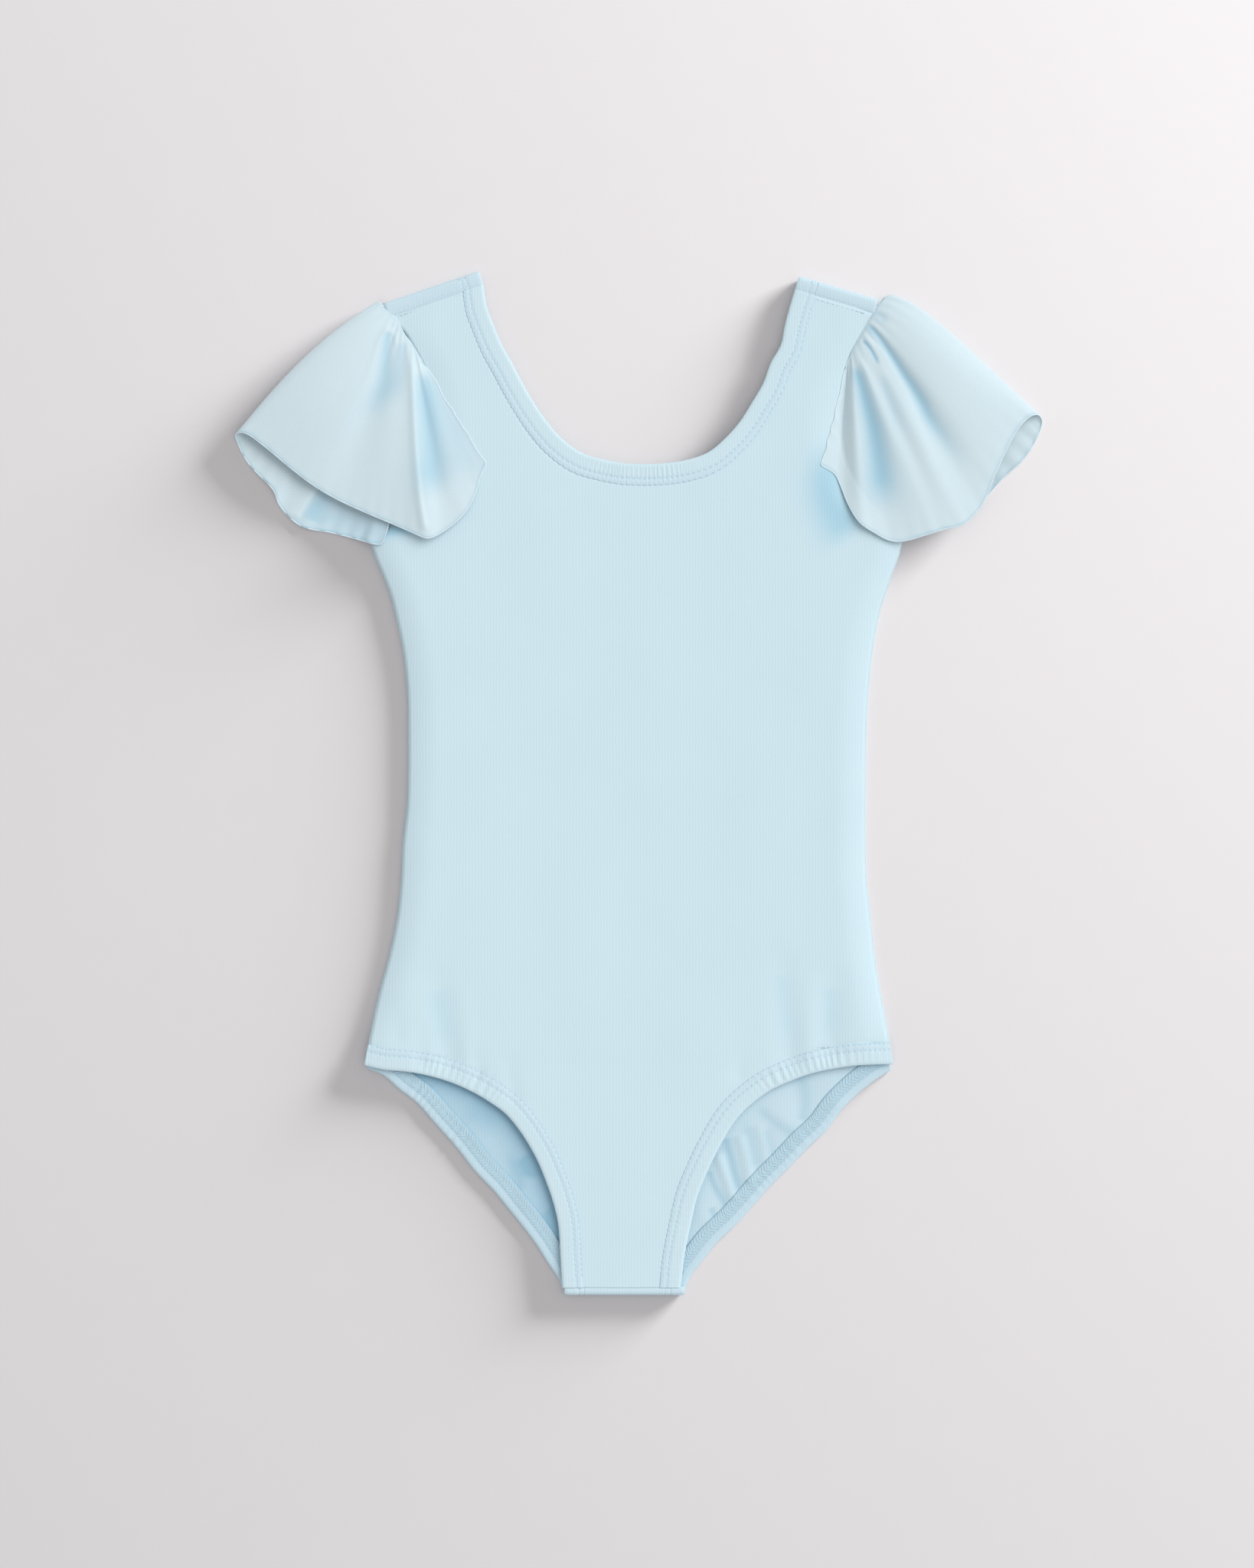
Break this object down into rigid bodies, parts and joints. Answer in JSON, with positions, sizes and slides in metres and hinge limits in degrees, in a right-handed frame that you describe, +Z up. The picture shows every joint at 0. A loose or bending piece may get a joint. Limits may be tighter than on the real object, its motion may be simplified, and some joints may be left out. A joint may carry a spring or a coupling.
{
  "type": "dance leotard laid flat",
  "caption": "Child's scoop-neck dance leotard in rib knit with sheer flutter sleeves and turned elastic hems, laid flat face up.",
  "frame": {"origin": "centre of the laid garment's footprint, on the surface that it lies on", "axes": "+Z up from that surface, +Y towards the shoulders, +X to the right as seen from above with the shoulders at the top"},
  "size_m": [0.3962, 0.5022, 0.012],
  "materials": {
    "rib_knit": "pale blue fine rib jersey, matt with a soft nap",
    "elastic_hem": "the same jersey turned over elastic and coverstitched",
    "sheer_mesh": "pale blue sheer woven crepe with a rolled hem",
    "thread": "pale blue polyester sewing thread"
  },
  "bodies": {
    "root": {"front_panel": "rib_knit", "back_panel": "rib_knit", "neck_hem_front": "elastic_hem", "neck_hem_back": "elastic_hem", "leg_hem_front_left": "elastic_hem", "leg_hem_back_left": "elastic_hem", "leg_hem_front_right": "elastic_hem", "leg_hem_back_right": "elastic_hem", "sleeve_left": "sheer_mesh", "sleeve_right": "sheer_mesh"}
  },
  "joints": []
}
